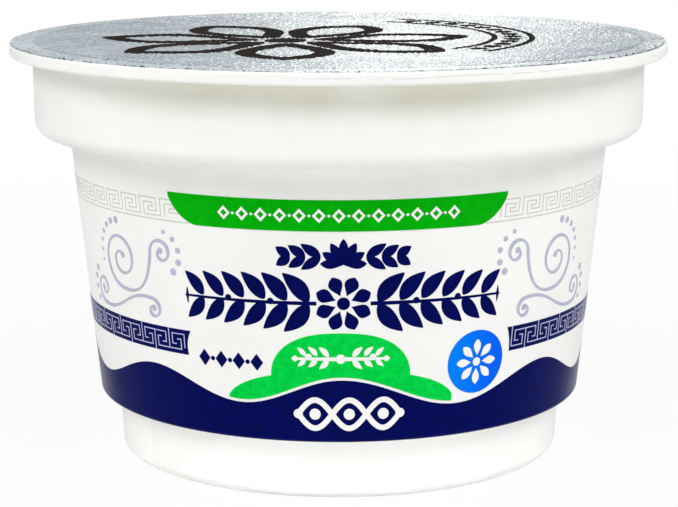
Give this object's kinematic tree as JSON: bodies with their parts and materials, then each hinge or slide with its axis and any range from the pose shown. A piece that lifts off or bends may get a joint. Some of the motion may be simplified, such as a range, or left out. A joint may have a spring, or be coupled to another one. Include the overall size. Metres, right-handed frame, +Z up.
{
  "type": "yogurt pot",
  "caption": "Small tapered plastic dessert pot with a wide stacking collar, a stepped-in foot and a flat sealed foil lid.",
  "frame": {"origin": "middle of the circle that the pot stands on, on the floor", "axes": "+Z up along the pot's axis, -Y towards the front of the printed wall"},
  "size_m": [0.088, 0.088, 0.056],
  "materials": {
    "pot_plastic": "white injection-moulded plastic, satin gloss",
    "lid_foil": "thin embossed lidding foil with dark print",
    "ink_navy": "printed ink in the wall, satin gloss",
    "ink_green": "printed ink in the wall, satin gloss",
    "ink_blue": "printed ink in the wall, satin gloss",
    "ink_grey": "printed ink in the wall, satin gloss"
  },
  "bodies": {
    "root": {"pot": "pot_plastic", "foil_lid": "lid_foil"}
  },
  "joints": []
}
